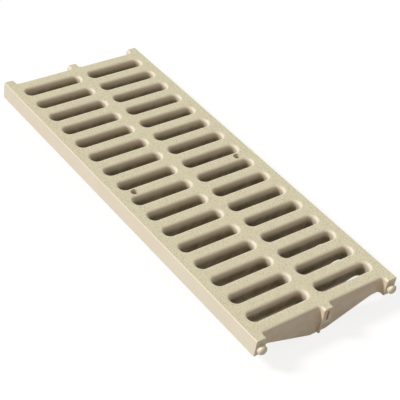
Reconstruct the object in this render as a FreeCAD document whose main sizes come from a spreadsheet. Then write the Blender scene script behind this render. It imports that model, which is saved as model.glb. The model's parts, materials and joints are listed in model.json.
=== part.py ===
"""Channel drain grate: one moulded section of a slotted plastic grate.

Millimetres. X runs along the channel, Y across it and Z up. The origin is at the middle of
the walking face, so the walking face is the plane z = 0 and the ribs hang below it.
The two joining pins are on the +X end, and the sockets that take them on the -X end.
"""
import FreeCAD, Part
import Sketcher
import math
import os

# Driving dimensions: alias, value, meaning.
SIZES = (
    ("slot_rows", 16, "number of slot rows along the section"),
    ("bar_pitch", 29.3, "distance from one cross bar to the next"),
    ("slot_gap", 13.1, "width of a slot below its rounded mouth"),
    ("side_land", 14.0, "solid width from the side of the grate to the slot ends"),
    ("centre_land", 15.0, "solid width between the two columns of slots"),
    ("mouth_radius", 3.5, "rounding of the top edge of each slot"),
    ("draft_angle", 4.0, "degrees by which each bar narrows downwards, on either side"),
    ("deck_width", 195.0, "overall width of the grate"),
    ("deck_height", 21.0, "height of the side rails and the centre beam"),
    ("rail_width", 13.5, "width of a side rail"),
    ("beam_width", 13.0, "width of the centre beam at its ends"),
    ("end_recess", 7.5, "set-back of the end web behind the rail ends"),
    ("cove_radius", 3.5, "rounding where rails and beam run into the end web"),
    ("end_radius", 3.0, "rounding of the top edge around each end recess"),
    ("edge_radius", 1.2, "rounding of the outer top edges"),
    ("rib_depth", 41.0, "overall height, from the walking face to the bottom of the ribs"),
    ("rib_flat", 22.0, "width of the flat bottom of the V shaped ribs"),
    ("rib_inset", 25.0, "distance from the side of the grate to the top of the V shaped ribs"),
    ("keel_thickness", 2.5, "thickness of the keel web below the centre beam"),
    ("keel_reach", 2.5, "length by which the keel stands out of each end web"),
    ("pin_diameter", 10.5, "diameter of a joining pin"),
    ("pin_length", 6.0, "length of a joining pin"),
    ("pin_bevel", 1.2, "lead-in chamfer of a joining pin"),
    ("pin_drop", 12.0, "depth of the pin axis below the walking face"),
    ("socket_clearance", 0.5, "socket diameter less pin diameter"),
    ("socket_spare", 1.0, "socket depth less pin length"),
    ("slit_width", 3.0, "width of the slit in the end of the centre beam"),
    ("slit_height", 13.0, "height of that slit"),
    ("slit_drop", 4.0, "depth of the top of that slit below the walking face"),
    ("slit_depth", 8.0, "depth of that slit into the centre beam"),
    ("screw_hole", 9.0, "diameter of the hold-down screw holes"),
    ("screw_inset", 24.0, "distance from the side of the grate to a hold-down screw hole"),
    ("mark_diameter", 2.6, "diameter of the ejector marks on the rails"),
    ("mark_depth", 0.6, "depth of the ejector marks"),
    ("mark_bars", 4, "bars from the middle bar to each ejector mark"),
)

# Lengths that follow from the driving dimensions, as expressions of the sheet.
BAR_WIDTH = "(sizes.bar_pitch - sizes.slot_gap)"
WEB_LENGTH = f"(sizes.slot_rows * sizes.bar_pitch + {BAR_WIDTH})"
TOTAL_LENGTH = f"({WEB_LENGTH} + 2 * sizes.end_recess)"
FIRST_ROW = "(-(sizes.slot_rows - 1) / 2 * sizes.bar_pitch)"
LAST_ROW = "((sizes.slot_rows - 1) * sizes.bar_pitch)"
SLOT_LENGTH = "((sizes.deck_width - sizes.centre_land) / 2 - sizes.side_land)"
SLOT_CENTRE = f"((sizes.centre_land + {SLOT_LENGTH}) / 2)"
RIB_HEIGHT = "(sizes.rib_depth - sizes.deck_height)"
RIB_TOP = "(sizes.deck_width / 2 - sizes.rib_inset)"
RAIL_CENTRE = "((sizes.deck_width - sizes.rail_width) / 2)"
SCREW_PLACE = "(sizes.deck_width / 2 - sizes.screw_inset)"
MIDDLE_BAR = "(mod(sizes.slot_rows; 2) * sizes.bar_pitch / 2)"
OVERCUT = 1.0    # how far a cut runs past the surface that it breaks through
FLAT = 1e-4      # two heights closer than this are the same


def make_sheet(doc):
    """Put every driving dimension in a spreadsheet, one named cell each."""
    sheet = doc.addObject("Spreadsheet::Sheet", "sizes")
    for row, (alias, value, meaning) in enumerate(SIZES, start=1):
        sheet.set(f"A{row}", alias)
        sheet.set(f"B{row}", str(value))
        sheet.set(f"C{row}", meaning)
        sheet.setAlias(f"B{row}", alias)
    doc.recompute()
    return sheet


def origin_plane(body, role):
    """Return the body's own origin plane of that role."""
    return next(item for item in body.Origin.OriginFeatures if item.Role == role)


def new_sketch(body, name, role, offset=(None, None, None)):
    """Start a sketch on an origin plane, moved by expressions along its own three axes."""
    sketch = body.newObject("Sketcher::SketchObject", name)
    sketch.AttachmentSupport = [(origin_plane(body, role), "")]
    sketch.MapMode = "FlatFace"
    for axis, expression in zip("xyz", offset):
        if expression:
            sketch.setExpression(f"AttachmentOffset.Base.{axis}", expression)
    return sketch


def bind(sketch, constraint, name, expression):
    """Add a sized constraint to a sketch, name it and tie it to an expression."""
    index = sketch.addConstraint(constraint)
    sketch.renameConstraint(index, name)
    sketch.setExpression(f"Constraints.{name}", expression)


def closed_outline(sketch, points):
    """Draw a closed chain of lines through the points, and return the first line's index."""
    first = sketch.GeometryCount
    count = len(points)
    for start, end in zip(points, points[1:] + points[:1]):
        sketch.addGeometry(Part.LineSegment(FreeCAD.Vector(*start, 0), FreeCAD.Vector(*end, 0)))
    for step in range(count):
        following = first + (step + 1) % count
        sketch.addConstraint(Sketcher.Constraint("Coincident", first + step, 2, following, 1))
    return first


def value_of(item, expression):
    """Work out an expression of the sheet as a number."""
    return float(item.evalExpression(expression))


def rectangle(sketch, name, left, bottom, width, height):
    """Draw a rectangle placed by its lower left corner; all four arguments are expressions."""
    x0, y0 = value_of(sketch, left), value_of(sketch, bottom)
    x1, y1 = x0 + value_of(sketch, width), y0 + value_of(sketch, height)
    first = closed_outline(sketch, [(x0, y0), (x1, y0), (x1, y1), (x0, y1)])
    for step, direction in enumerate(("Horizontal", "Vertical", "Horizontal", "Vertical")):
        sketch.addConstraint(Sketcher.Constraint(direction, first + step))
    bind(sketch, Sketcher.Constraint("DistanceX", -1, 1, first, 1, x0), name + "_left", left)
    bind(sketch, Sketcher.Constraint("DistanceY", -1, 1, first, 1, y0), name + "_bottom", bottom)
    bind(sketch, Sketcher.Constraint("DistanceX", first, 1, first, 2, x1 - x0), name + "_width", width)
    bind(sketch, Sketcher.Constraint("DistanceY", first + 1, 1, first + 1, 2, y1 - y0),
         name + "_height", height)


def circle(sketch, name, across, up, diameter):
    """Draw a circle; its centre and diameter are expressions."""
    x, y, size = (value_of(sketch, text) for text in (across, up, diameter))
    index = sketch.addGeometry(Part.Circle(FreeCAD.Vector(x, y, 0), FreeCAD.Vector(0, 0, 1), size / 2))
    bind(sketch, Sketcher.Constraint("DistanceX", -1, 1, index, 3, x), name + "_across", across)
    bind(sketch, Sketcher.Constraint("DistanceY", -1, 1, index, 3, y), name + "_up", up)
    bind(sketch, Sketcher.Constraint("Diameter", index, size), name + "_size", diameter)


def round_ended_slot(sketch, name, centre, length, gap):
    """Draw a slot along the sketch's own y axis, with half-round ends."""
    middle = value_of(sketch, centre)
    radius = value_of(sketch, gap) / 2
    reach = value_of(sketch, length) / 2 - radius
    up = FreeCAD.Vector(0, 0, 1)
    ends = (middle + reach, middle - reach)
    arcs = []
    for height, start in zip(ends, (0, math.pi)):
        round_end = Part.Circle(FreeCAD.Vector(0, height, 0), up, radius)
        arcs.append(sketch.addGeometry(Part.ArcOfCircle(round_end, start, start + math.pi)))
    sides = []
    for side, (start, end) in zip((-radius, radius), (ends, ends[::-1])):
        line = Part.LineSegment(FreeCAD.Vector(side, start, 0), FreeCAD.Vector(side, end, 0))
        sides.append(sketch.addGeometry(line))
    joints = ((arcs[0], 2, sides[0], 1), (sides[0], 2, arcs[1], 1),
              (arcs[1], 2, sides[1], 1), (sides[1], 2, arcs[0], 1))
    for joint in joints:
        sketch.addConstraint(Sketcher.Constraint("Tangent", *joint))
    sketch.addConstraint(Sketcher.Constraint("Equal", arcs[0], arcs[1]))
    for arc in arcs:
        sketch.addConstraint(Sketcher.Constraint("PointOnObject", arc, 3, -2))
    bind(sketch, Sketcher.Constraint("Radius", arcs[0], radius), name + "_radius", f"{gap} / 2")
    for arc, height, sign in zip(arcs, ends, "+-"):
        label = name + ("_upper" if sign == "+" else "_lower")
        place = f"{centre} {sign} ({length} - {gap}) / 2"
        bind(sketch, Sketcher.Constraint("DistanceY", -1, 1, arc, 3, height), label, place)


def pad(body, name, sketch, length, midplane=False):
    """Pad a sketch by an expression, away from its plane or to both sides of it."""
    feature = body.newObject("PartDesign::Pad", name)
    feature.Profile = sketch
    feature.Midplane = midplane
    feature.setExpression("Length", length)
    return feature


def pocket(body, name, sketch, depth=None, into_plane=False, draft=None):
    """Cut a sketch to a depth, or right through; it has to remove material."""
    before = body.Tip.Shape.Volume
    feature = body.newObject("PartDesign::Pocket", name)
    feature.Profile = sketch
    feature.Reversed = into_plane
    if depth:
        feature.setExpression("Length", depth)
    else:
        feature.Type = "ThroughAll"
    if draft:
        feature.setExpression("TaperAngle", draft)
    body.Document.recompute()
    if not feature.Shape.Volume < before:
        raise RuntimeError(f"{name} removes nothing")
    return feature


def dress_edges(body, kind, name, size, wanted):
    """Fillet or chamfer every edge of the body's last feature that the test `wanted` picks."""
    base = body.Tip
    picked = [f"Edge{number}" for number, edge in enumerate(base.Shape.Edges, start=1) if wanted(edge)]
    if not picked:
        raise RuntimeError(f"{name} finds no edge")
    feature = body.newObject(f"PartDesign::{kind}", name)
    feature.Base = (base, picked)
    feature.setExpression("Radius" if kind == "Fillet" else "Size", size)
    body.Document.recompute()


def lies_at(edge, height):
    """Tell whether the whole edge lies in the horizontal plane of that height."""
    box = edge.BoundBox
    return abs(box.ZMin - height) < FLAT and abs(box.ZMax - height) < FLAT


def reach(edge, axis):
    """Return how near and how far the edge's points are from the origin along one axis."""
    corners = [abs(getattr(vertex.Point, axis)) for vertex in edge.Vertexes]
    return min(corners), max(corners)


def add_blank(body):
    """The solid outline of the section: flat deck, V shaped belly and thin keel."""
    deck = new_sketch(body, "deck_outline", "XY_Plane")
    rectangle(deck, "deck", f"-{TOTAL_LENGTH} / 2", "-sizes.deck_width / 2",
              TOTAL_LENGTH, "sizes.deck_width")
    slab = pad(body, "deck_slab", deck, "sizes.deck_height")
    slab.Reversed = True

    belly = new_sketch(body, "belly_profile", "YZ_Plane")
    wide, narrow = value_of(belly, RIB_TOP), value_of(belly, "sizes.rib_flat / 2")
    top, bottom = value_of(belly, "-sizes.deck_height"), value_of(belly, "-sizes.rib_depth")
    line = closed_outline(belly, [(-wide, top), (-narrow, bottom), (narrow, bottom), (wide, top)])
    belly.addConstraint(Sketcher.Constraint("Symmetric", line, 1, line + 2, 2, -2))
    belly.addConstraint(Sketcher.Constraint("Symmetric", line + 1, 1, line + 1, 2, -2))
    bind(belly, Sketcher.Constraint("DistanceX", line, 1, line + 2, 2, 2 * wide),
         "spread", f"2 * {RIB_TOP}")
    bind(belly, Sketcher.Constraint("DistanceX", line + 1, 1, line + 1, 2, 2 * narrow),
         "flat", "sizes.rib_flat")
    bind(belly, Sketcher.Constraint("DistanceY", -1, 1, line, 1, top), "top", "-sizes.deck_height")
    bind(belly, Sketcher.Constraint("DistanceY", -1, 1, line, 2, bottom), "bottom", "-sizes.rib_depth")
    pad(body, "belly", belly, WEB_LENGTH, midplane=True)

    keel = new_sketch(body, "keel_profile", "YZ_Plane")
    rectangle(keel, "keel", "-sizes.keel_thickness / 2", "-sizes.rib_depth",
              "sizes.keel_thickness", RIB_HEIGHT)
    pad(body, "keel", keel, f"{WEB_LENGTH} + 2 * sizes.keel_reach", midplane=True)
    body.Document.recompute()


def add_end_recesses(body):
    """Set both end webs back between the rail ends and the beam end, with rounded corners."""
    corner = "sizes.beam_width / 2"
    opening = f"(sizes.deck_width / 2 - sizes.rail_width - {corner})"
    recess = new_sketch(body, "recess_outline", "XY_Plane")
    for name, bottom in (("left", corner), ("right", f"-{corner} - {opening}")):
        rectangle(recess, name, f"{WEB_LENGTH} / 2", bottom, f"sizes.end_recess + {OVERCUT}", opening)
    cut = pocket(body, "end_recess", recess, "sizes.deck_height")
    mirror = body.newObject("PartDesign::Mirrored", "other_end_recess")
    mirror.Originals = [cut]
    mirror.MirrorPlane = (origin_plane(body, "YZ_Plane"), [""])
    body.Tip = mirror
    body.Document.recompute()

    web = value_of(recess, f"{WEB_LENGTH} / 2")
    side = value_of(recess, "sizes.deck_width / 2")

    def inner_corner(edge):
        box = edge.BoundBox
        upright = box.XLength < FLAT and box.YLength < FLAT and box.ZMax > -FLAT
        on_web = abs(reach(edge, "x")[0] - web) < FLAT
        return upright and on_web and reach(edge, "y")[1] < side - FLAT

    dress_edges(body, "Fillet", "coves", "sizes.cove_radius", inner_corner)


def add_slots(body):
    """Cut the rows of slots, which widen downwards, and the bays between the ribs below them."""
    slots = new_sketch(body, "slot_outline", "XY_Plane", (FIRST_ROW, None, None))
    for name, sign in (("left", ""), ("right", "-")):
        round_ended_slot(slots, name, sign + SLOT_CENTRE, SLOT_LENGTH, "sizes.slot_gap")
    slot = pocket(body, "slot_pair", slots, "sizes.deck_height", draft="sizes.draft_angle")

    bays = new_sketch(body, "bay_outline", "XY_Plane", (FIRST_ROW, None, "-sizes.deck_height"))
    width = "(sizes.slot_gap + 2 * sizes.deck_height * tan(sizes.draft_angle * 1deg))"
    inner = "sizes.keel_thickness / 2"
    span = f"({RIB_TOP} - {inner})"
    for name, bottom in (("left", inner), ("right", "-" + RIB_TOP)):
        rectangle(bays, name, f"-{width} / 2", bottom, width, span)
    bay = pocket(body, "bay_pair", bays, RIB_HEIGHT, draft="sizes.draft_angle")

    rows = body.newObject("PartDesign::LinearPattern", "slot_rows")
    rows.Originals = [slot, bay]
    rows.Direction = (origin_plane(body, "X_Axis"), [""])
    rows.setExpression("Length", LAST_ROW)
    rows.setExpression("Occurrences", "sizes.slot_rows")
    body.Tip = rows
    body.Document.recompute()


def round_top_edges(body):
    """Round the slot mouths, the edges of the end recesses and the long outer edges."""
    web = value_of(body, f"{WEB_LENGTH} / 2")
    tip = value_of(body, f"{TOTAL_LENGTH} / 2")
    side = value_of(body, "sizes.deck_width / 2")

    def slot_mouth(edge):
        return lies_at(edge, 0) and reach(edge, "x")[1] < web - FLAT and reach(edge, "y")[1] < side - FLAT

    def recess_edge(edge):
        near_x = reach(edge, "x")[0]
        return lies_at(edge, 0) and web - FLAT < near_x < tip - FLAT and reach(edge, "y")[1] < side - FLAT

    def outer_edge(edge):
        return lies_at(edge, 0) and reach(edge, "y")[0] > side - FLAT

    dress_edges(body, "Fillet", "slot_mouths", "sizes.mouth_radius", slot_mouth)
    dress_edges(body, "Fillet", "recess_edges", "sizes.end_radius", recess_edge)
    dress_edges(body, "Fillet", "outer_edges", "sizes.edge_radius", outer_edge)


def add_joining_ends(body):
    """Two pins on the +X rail ends, and in the -X rail ends the sockets that take them."""
    pins = new_sketch(body, "pin_outline", "YZ_Plane", (None, None, f"{TOTAL_LENGTH} / 2"))
    sockets = new_sketch(body, "socket_outline", "YZ_Plane", (None, None, f"-{TOTAL_LENGTH} / 2"))
    for name, sign in (("left", ""), ("right", "-")):
        circle(pins, name, sign + RAIL_CENTRE, "-sizes.pin_drop", "sizes.pin_diameter")
        circle(sockets, name, sign + RAIL_CENTRE, "-sizes.pin_drop",
               "sizes.pin_diameter + sizes.socket_clearance")
    pad(body, "pins", pins, "sizes.pin_length")
    body.Document.recompute()
    nose = value_of(body, f"{TOTAL_LENGTH} / 2 + sizes.pin_length")
    dress_edges(body, "Chamfer", "pin_bevels", "sizes.pin_bevel",
                lambda edge: edge.BoundBox.XMin > nose - FLAT)
    pocket(body, "sockets", sockets, "sizes.pin_length + sizes.socket_spare", into_plane=True)


def add_small_cuts(body):
    """The slit in the beam end, the hold-down screw holes and the ejector marks."""
    slit = new_sketch(body, "slit_outline", "YZ_Plane", (None, None, f"{TOTAL_LENGTH} / 2"))
    rectangle(slit, "slit", "-sizes.slit_width / 2", "-sizes.slit_drop - sizes.slit_height",
              "sizes.slit_width", "sizes.slit_height")
    pocket(body, "beam_slit", slit, "sizes.slit_depth")

    holes = new_sketch(body, "screw_outline", "XY_Plane")
    marks = new_sketch(body, "mark_outline", "XY_Plane")
    for name, sign in (("left", ""), ("right", "-")):
        circle(holes, name, MIDDLE_BAR, sign + SCREW_PLACE, "sizes.screw_hole")
        for end, place in (("front", "sizes.mark_bars * sizes.bar_pitch"),
                           ("back", "-sizes.mark_bars * sizes.bar_pitch")):
            circle(marks, name + end, place, sign + RAIL_CENTRE, "sizes.mark_diameter")
    pocket(body, "screw_holes", holes)
    pocket(body, "ejector_marks", marks, "sizes.mark_depth")


def check(doc):
    """Stop where any object of the document failed, or the solid is not sound."""
    for item in doc.Objects:
        if "Invalid" in item.State or "Error" in item.State:
            raise RuntimeError(f"{item.Name} is {item.State}")
    for body in doc.findObjects("PartDesign::Body"):
        if body.Shape.isNull() or not body.Shape.isValid() or len(body.Shape.Solids) != 1:
            raise RuntimeError(f"{body.Label} is not one sound solid")


def main():
    doc = FreeCAD.newDocument("channel_grate")
    make_sheet(doc)
    grate = doc.addObject("PartDesign::Body", "grate")
    grate.Label = "grate"
    add_blank(grate)
    add_end_recesses(grate)
    add_slots(grate)
    round_top_edges(grate)
    add_joining_ends(grate)
    add_small_cuts(grate)
    doc.recompute()
    check(doc)
    os.makedirs("parts", exist_ok=True)
    grate.Shape.exportStep(f"parts/{grate.Label}.step")
    box = grate.Shape.BoundBox
    print(f"{grate.Label}: {box.XLength:.1f} x {box.YLength:.1f} x {box.ZLength:.1f} mm, "
          f"{grate.Shape.Volume / 1000:.1f} cm3")


main()
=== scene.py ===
"""Looks of the channel drain grate: sand coloured moulded plastic on a white studio floor.

Metres, in the frame of the CAD model: X runs along the channel, Y across it, Z up, and the
origin is at the middle of the walking face.
"""
import json
import math

import bpy
from mathutils import Matrix, Vector


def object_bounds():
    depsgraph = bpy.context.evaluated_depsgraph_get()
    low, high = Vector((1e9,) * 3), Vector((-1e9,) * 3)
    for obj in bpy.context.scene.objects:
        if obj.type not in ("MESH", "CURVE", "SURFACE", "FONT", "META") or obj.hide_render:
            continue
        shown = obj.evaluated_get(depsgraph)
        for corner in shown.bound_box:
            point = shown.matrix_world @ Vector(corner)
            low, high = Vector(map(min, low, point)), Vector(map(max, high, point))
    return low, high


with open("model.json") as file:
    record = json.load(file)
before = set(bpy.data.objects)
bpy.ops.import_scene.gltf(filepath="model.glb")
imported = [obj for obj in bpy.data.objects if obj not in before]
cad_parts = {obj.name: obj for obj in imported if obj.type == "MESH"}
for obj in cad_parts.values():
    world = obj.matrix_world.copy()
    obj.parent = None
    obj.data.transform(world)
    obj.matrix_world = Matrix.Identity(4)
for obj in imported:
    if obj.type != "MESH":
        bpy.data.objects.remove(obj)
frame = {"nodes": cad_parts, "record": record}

GRATE = "grate"
CAD_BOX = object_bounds()

# Camera. Its angles, in degrees, give the direction from the target to the camera.
CAMERA_AZIMUTH = -43.0              # from +X towards +Y
CAMERA_ELEVATION = 38.5
CAMERA_ROLL = 10.0                  # anticlockwise turn of the camera, so clockwise of the object
CAMERA_DISTANCE = 1.30
CAMERA_LENS = 104.5                 # millimetres, for the 36 mm wide sensor
CAMERA_NEAR = 0.01                  # nearest distance that is shown
CAMERA_TARGET = (0.0460, -0.0158, 0.0)

# Light and floor.
SUN_FROM = (-0.38, -0.66, 0.65)
SUN_STRENGTH = 2.57
SUN_SPREAD = 0.22                   # radians
SKY_STRENGTH = 0.31                 # as light on the object
SKY_TINT = (1.0, 0.92, 0.82, 1)     # as light on the object
SKY_SHOWN = 1.0                     # strength as the camera sees it
WHITE = (1, 1, 1, 1)
FLOOR_SIZE = 12.0
FLOOR_DIFFUSE = 0.43                # grey that throws light back on the object
FLOOR_SHOWN = 0.22                  # grey that the camera sees, with the light and shadow on it
FLOOR_GLOW = 0.83                   # white added for the camera

# Plastic: linear colours.
SAND = (0.815, 0.765, 0.545, 1)
SAND_LIGHT = (0.88, 0.83, 0.63, 1)
SAND_DARK = (0.54, 0.485, 0.32, 1)
CREAM = (0.83, 0.735, 0.585, 1)
# A warmer, darker tint for the end webs.
END_WEB_TINT = (0.78, 0.555, 0.345, 1)
# Painted shade for the walls of the slots.
PAINTED_SLOT_SHADE = (0.165, 0.132, 0.068, 1)

# Noise patterns: scale, detail and roughness.
GRAIN = (500.0, 4.0, 0.62)
MOTTLE = (95.0, 3.0, 0.6)
CLOUD = (11.0, 2.0, 0.5)

# Shares that follow a pattern: its range, and the range that it is turned into.
SPECKS = (0.34, 0.66, 0.0, 1.0)             # of light specks among dark ones, from the grain
SPECKS_COVERED = (0.30, 0.70, 0.22, 0.66)   # of plain sand over the specks, from the mottle
CREAM_LIGHTER = (0.35, 0.65, 0.0, 0.25)     # of light sand in the cream, from the cloud
END_WEB_TINT_STRENGTH = (0.30, 0.75, 0.20, 0.60)   # of the warmer, darker tint on the end webs, from the mottle
PAINTED_SHADE_STRENGTH = (0.25, 0.75, 0.70, 0.92)    # of the painted shade in the slots, from the mottle

# Where each surface is, by the upward part of its normal.
WALKED = (0.90, 0.995)              # from smooth plastic to the grained walking face
UPRIGHT = (0.6, 0.1)                # from a slope to an upright face

# The field of slots: half its length and width, from the outermost openings of the record.
OPENINGS = [opening["box_m"] for opening in frame["record"]["physics"]["openings"]]
END_MARGIN = 0.00875                # from an opening's box to just past the middle of the last bar
SIDE_MARGIN = 0.0041                # from an opening's box to just past the end of its slot
FIELD_HALF_LENGTH = max(high[0] for low, high in OPENINGS) + END_MARGIN
FIELD_HALF_WIDTH = max(high[1] for low, high in OPENINGS) + SIDE_MARGIN
FIELD_BORDER = 0.0012               # soft edge of the field
RAIL_BORDER = 0.003                 # soft edge between the end web and the rails
PAINTED_SHADE_TOP = (-0.0015, -0.013)        # heights between which the painted shade on the slot walls sets in
PAINTED_SHADE_BOTTOM = (-0.026, -0.018)      # heights between which the painted shade thins out again

# Surface. A pair holds the value on smooth plastic and the one on the walking face.
GRAIN_BUMP = (0.06, 0.60)
GRAIN_DEPTH = 0.0008
WAVE_BUMP = 0.25
WAVE_DEPTH = 0.002
ROUGHNESS = (0.46, 0.68)
ROUGHNESS_CHANGE = (0.3, 0.7, -0.05, 0.06)  # added, from the mottle
PAINTED_SHADE_ROUGHNESS = 1.05               # under the full painted shade in the slots, which the mottle never quite reaches
SPECULAR = 0.42


class Nodes:
    """A short way to add shader nodes and to link them."""

    # Sockets of a Mix node that mixes colours.
    MIX_SHARE, MIX_FIRST, MIX_SECOND, MIX_RESULT = 0, 6, 7, 2

    def __init__(self, tree):
        self.tree = tree
        tree.nodes.clear()

    def add(self, kind, inputs=None, **settings):
        """A new node, whose inputs are other nodes' sockets or plain values."""
        node = self.tree.nodes.new("ShaderNode" + kind)
        for name, value in settings.items():
            setattr(node, name, value)
        for name, value in (inputs or {}).items():
            if isinstance(value, bpy.types.NodeSocket):
                self.tree.links.new(value, node.inputs[name])
            else:
                node.inputs[name].default_value = value
        return node

    def math(self, operation, first, second=0.0):
        return self.add("Math", {0: first, 1: second}, operation=operation).outputs[0]

    def product(self, first, *others):
        for value in others:
            first = self.math("MULTIPLY", first, value)
        return first

    def ramp(self, value, low, high, start=0.0, end=1.0):
        """A smooth step from start, where the value is low, to end, where it is high."""
        node = self.add("MapRange", {"Value": value, "From Min": low, "From Max": high,
                                     "To Min": start, "To Max": end},
                        interpolation_type="SMOOTHSTEP")
        return node.outputs[0]

    def mix(self, share, first, second):
        """The first colour, with a share of the second."""
        node = self.add("Mix", {self.MIX_SHARE: share, self.MIX_FIRST: first,
                                self.MIX_SECOND: second}, data_type="RGBA")
        return node.outputs[self.MIX_RESULT]

    def noise(self, place, scale, detail, roughness):
        node = self.add("TexNoise", {"Vector": place, "Scale": scale, "Detail": detail,
                                     "Roughness": roughness})
        return node.outputs["Fac"]


def moulded_plastic():
    """Sand coloured plastic: a grained walking face, smooth roundings and sides, and painted shade
    in the slots.
    """
    material = bpy.data.materials.new("moulded_plastic")
    material.use_nodes = True
    net = Nodes(material.node_tree)
    place = net.add("TexCoord").outputs["Object"]
    along, across, height = net.add("SeparateXYZ", {"Vector": place}).outputs
    from_middle = net.math("ABSOLUTE", along)
    from_centre_line = net.math("ABSOLUTE", across)
    normal = net.add("NewGeometry").outputs["Normal"]
    upward = net.add("SeparateXYZ", {"Vector": normal}).outputs["Z"]
    walked = net.ramp(upward, *WALKED)
    grain = net.noise(place, *GRAIN)
    mottle = net.noise(place, *MOTTLE)
    cloud = net.noise(place, *CLOUD)

    # Speckled sand where it is walked on, and cream on the rest.
    specks = net.mix(net.ramp(grain, *SPECKS), SAND_DARK, SAND_LIGHT)
    sand = net.mix(net.ramp(mottle, *SPECKS_COVERED), specks, SAND)
    cream = net.mix(net.ramp(cloud, *CREAM_LIGHTER), CREAM, SAND_LIGHT)

    # A warmer, darker tint on the end webs, between the rails.
    end_web_tinted = net.product(
        net.ramp(from_middle, FIELD_HALF_LENGTH, FIELD_HALF_LENGTH + FIELD_BORDER),
        net.ramp(upward, *UPRIGHT),
        net.ramp(mottle, *END_WEB_TINT_STRENGTH),
        net.ramp(from_centre_line, FIELD_HALF_WIDTH + RAIL_BORDER, FIELD_HALF_WIDTH))
    cream = net.mix(end_web_tinted, cream, END_WEB_TINT)

    # Painted shade on the walls of the slots, darker below the walking face and fading out further
    # down.
    painted_slot_shade = net.product(
        net.ramp(height, *PAINTED_SHADE_TOP),
        net.ramp(height, *PAINTED_SHADE_BOTTOM),
        net.ramp(from_middle, FIELD_HALF_LENGTH + FIELD_BORDER, FIELD_HALF_LENGTH),
        net.ramp(from_centre_line, FIELD_HALF_WIDTH + FIELD_BORDER, FIELD_HALF_WIDTH),
        net.ramp(mottle, *PAINTED_SHADE_STRENGTH))
    colour = net.mix(painted_slot_shade, net.mix(walked, cream, sand), PAINTED_SLOT_SHADE)

    fine = net.add("Bump", {"Height": grain, "Distance": GRAIN_DEPTH,
                            "Strength": net.ramp(walked, 0, 1, *GRAIN_BUMP)})
    waves = net.add("Bump", {"Height": cloud, "Distance": WAVE_DEPTH, "Strength": WAVE_BUMP,
                             "Normal": fine.outputs[0]})
    roughness = net.math("ADD", net.ramp(walked, 0, 1, *ROUGHNESS),
                         net.ramp(mottle, *ROUGHNESS_CHANGE))
    # Rougher where the slot walls carry the painted shade.
    roughness = net.math("MAXIMUM", roughness, net.math("MULTIPLY", painted_slot_shade, PAINTED_SHADE_ROUGHNESS))
    shader = net.add("BsdfPrincipled", {"Base Color": colour, "Roughness": roughness,
                                        "Specular IOR Level": SPECULAR,
                                        "Normal": waves.outputs[0]})
    net.add("OutputMaterial", {"Surface": shader.outputs[0]})
    return material


def shown_directly(net):
    """1 for what the camera sees, directly, mirrored or through glass, and 0 for other light."""
    path = net.add("LightPath").outputs
    mirrored = net.math("MAXIMUM", path["Is Camera Ray"], path["Is Glossy Ray"])
    return net.math("MAXIMUM", mirrored, path["Is Transmission Ray"])


def add_floor(height):
    """A white floor that keeps the object's shadow."""
    bpy.ops.mesh.primitive_plane_add(size=FLOOR_SIZE, location=(0, 0, height))
    floor = bpy.context.object
    floor.name = "floor"
    material = bpy.data.materials.new("floor_white")
    material.use_nodes = True
    net = Nodes(material.node_tree)
    shown = shown_directly(net)
    diffuse = net.add("BsdfDiffuse", {"Color": net.ramp(shown, 0, 1, FLOOR_DIFFUSE, FLOOR_SHOWN)})
    glow = net.add("Emission", {"Strength": net.math("MULTIPLY", shown, FLOOR_GLOW)})
    both = net.add("AddShader", {0: diffuse.outputs[0], 1: glow.outputs[0]})
    net.add("OutputMaterial", {"Surface": both.outputs[0]})
    floor.data.materials.append(material)


def add_light():
    """A soft sun from the left and a little in front, and an even sky that looks white."""
    lamp = bpy.data.lights.new("key", "SUN")
    lamp.energy = SUN_STRENGTH
    lamp.angle = SUN_SPREAD
    key = bpy.data.objects.new("key", lamp)
    key.rotation_euler = Vector(SUN_FROM).to_track_quat("Z", "Y").to_euler()
    bpy.context.scene.collection.objects.link(key)

    world = bpy.data.worlds.new("studio")
    world.use_nodes = True
    net = Nodes(world.node_tree)
    shown = shown_directly(net)
    sky = net.add("Background", {"Color": net.mix(shown, SKY_TINT, WHITE),
                                 "Strength": net.ramp(shown, 0, 1, SKY_STRENGTH, SKY_SHOWN)})
    net.add("OutputWorld", {"Surface": sky.outputs[0]})
    bpy.context.scene.world = world


def add_camera():
    """The camera on its line from the target, turned about its own axis by the roll."""
    azimuth, elevation, roll = map(math.radians, (CAMERA_AZIMUTH, CAMERA_ELEVATION, CAMERA_ROLL))
    back = Vector((math.cos(elevation) * math.cos(azimuth),
                   math.cos(elevation) * math.sin(azimuth), math.sin(elevation)))
    camera = bpy.data.objects.new("camera", bpy.data.cameras.new("camera"))
    camera.data.lens = CAMERA_LENS
    camera.data.clip_start = CAMERA_NEAR
    level = back.to_track_quat("Z", "Y").to_matrix()
    turned = level @ Matrix.Rotation(roll, 3, "Z")
    place = Vector(CAMERA_TARGET) + back * CAMERA_DISTANCE
    camera.matrix_world = Matrix.Translation(place) @ turned.to_4x4()
    bpy.context.scene.collection.objects.link(camera)
    bpy.context.scene.camera = camera


def main():
    add_camera()
    grate = frame["nodes"][GRATE]
    plastic = moulded_plastic()
    for slot in grate.material_slots:
        slot.material = plastic
    add_floor(CAD_BOX[0].z)
    add_light()
    bpy.context.scene.view_settings.view_transform = "Standard"


main()
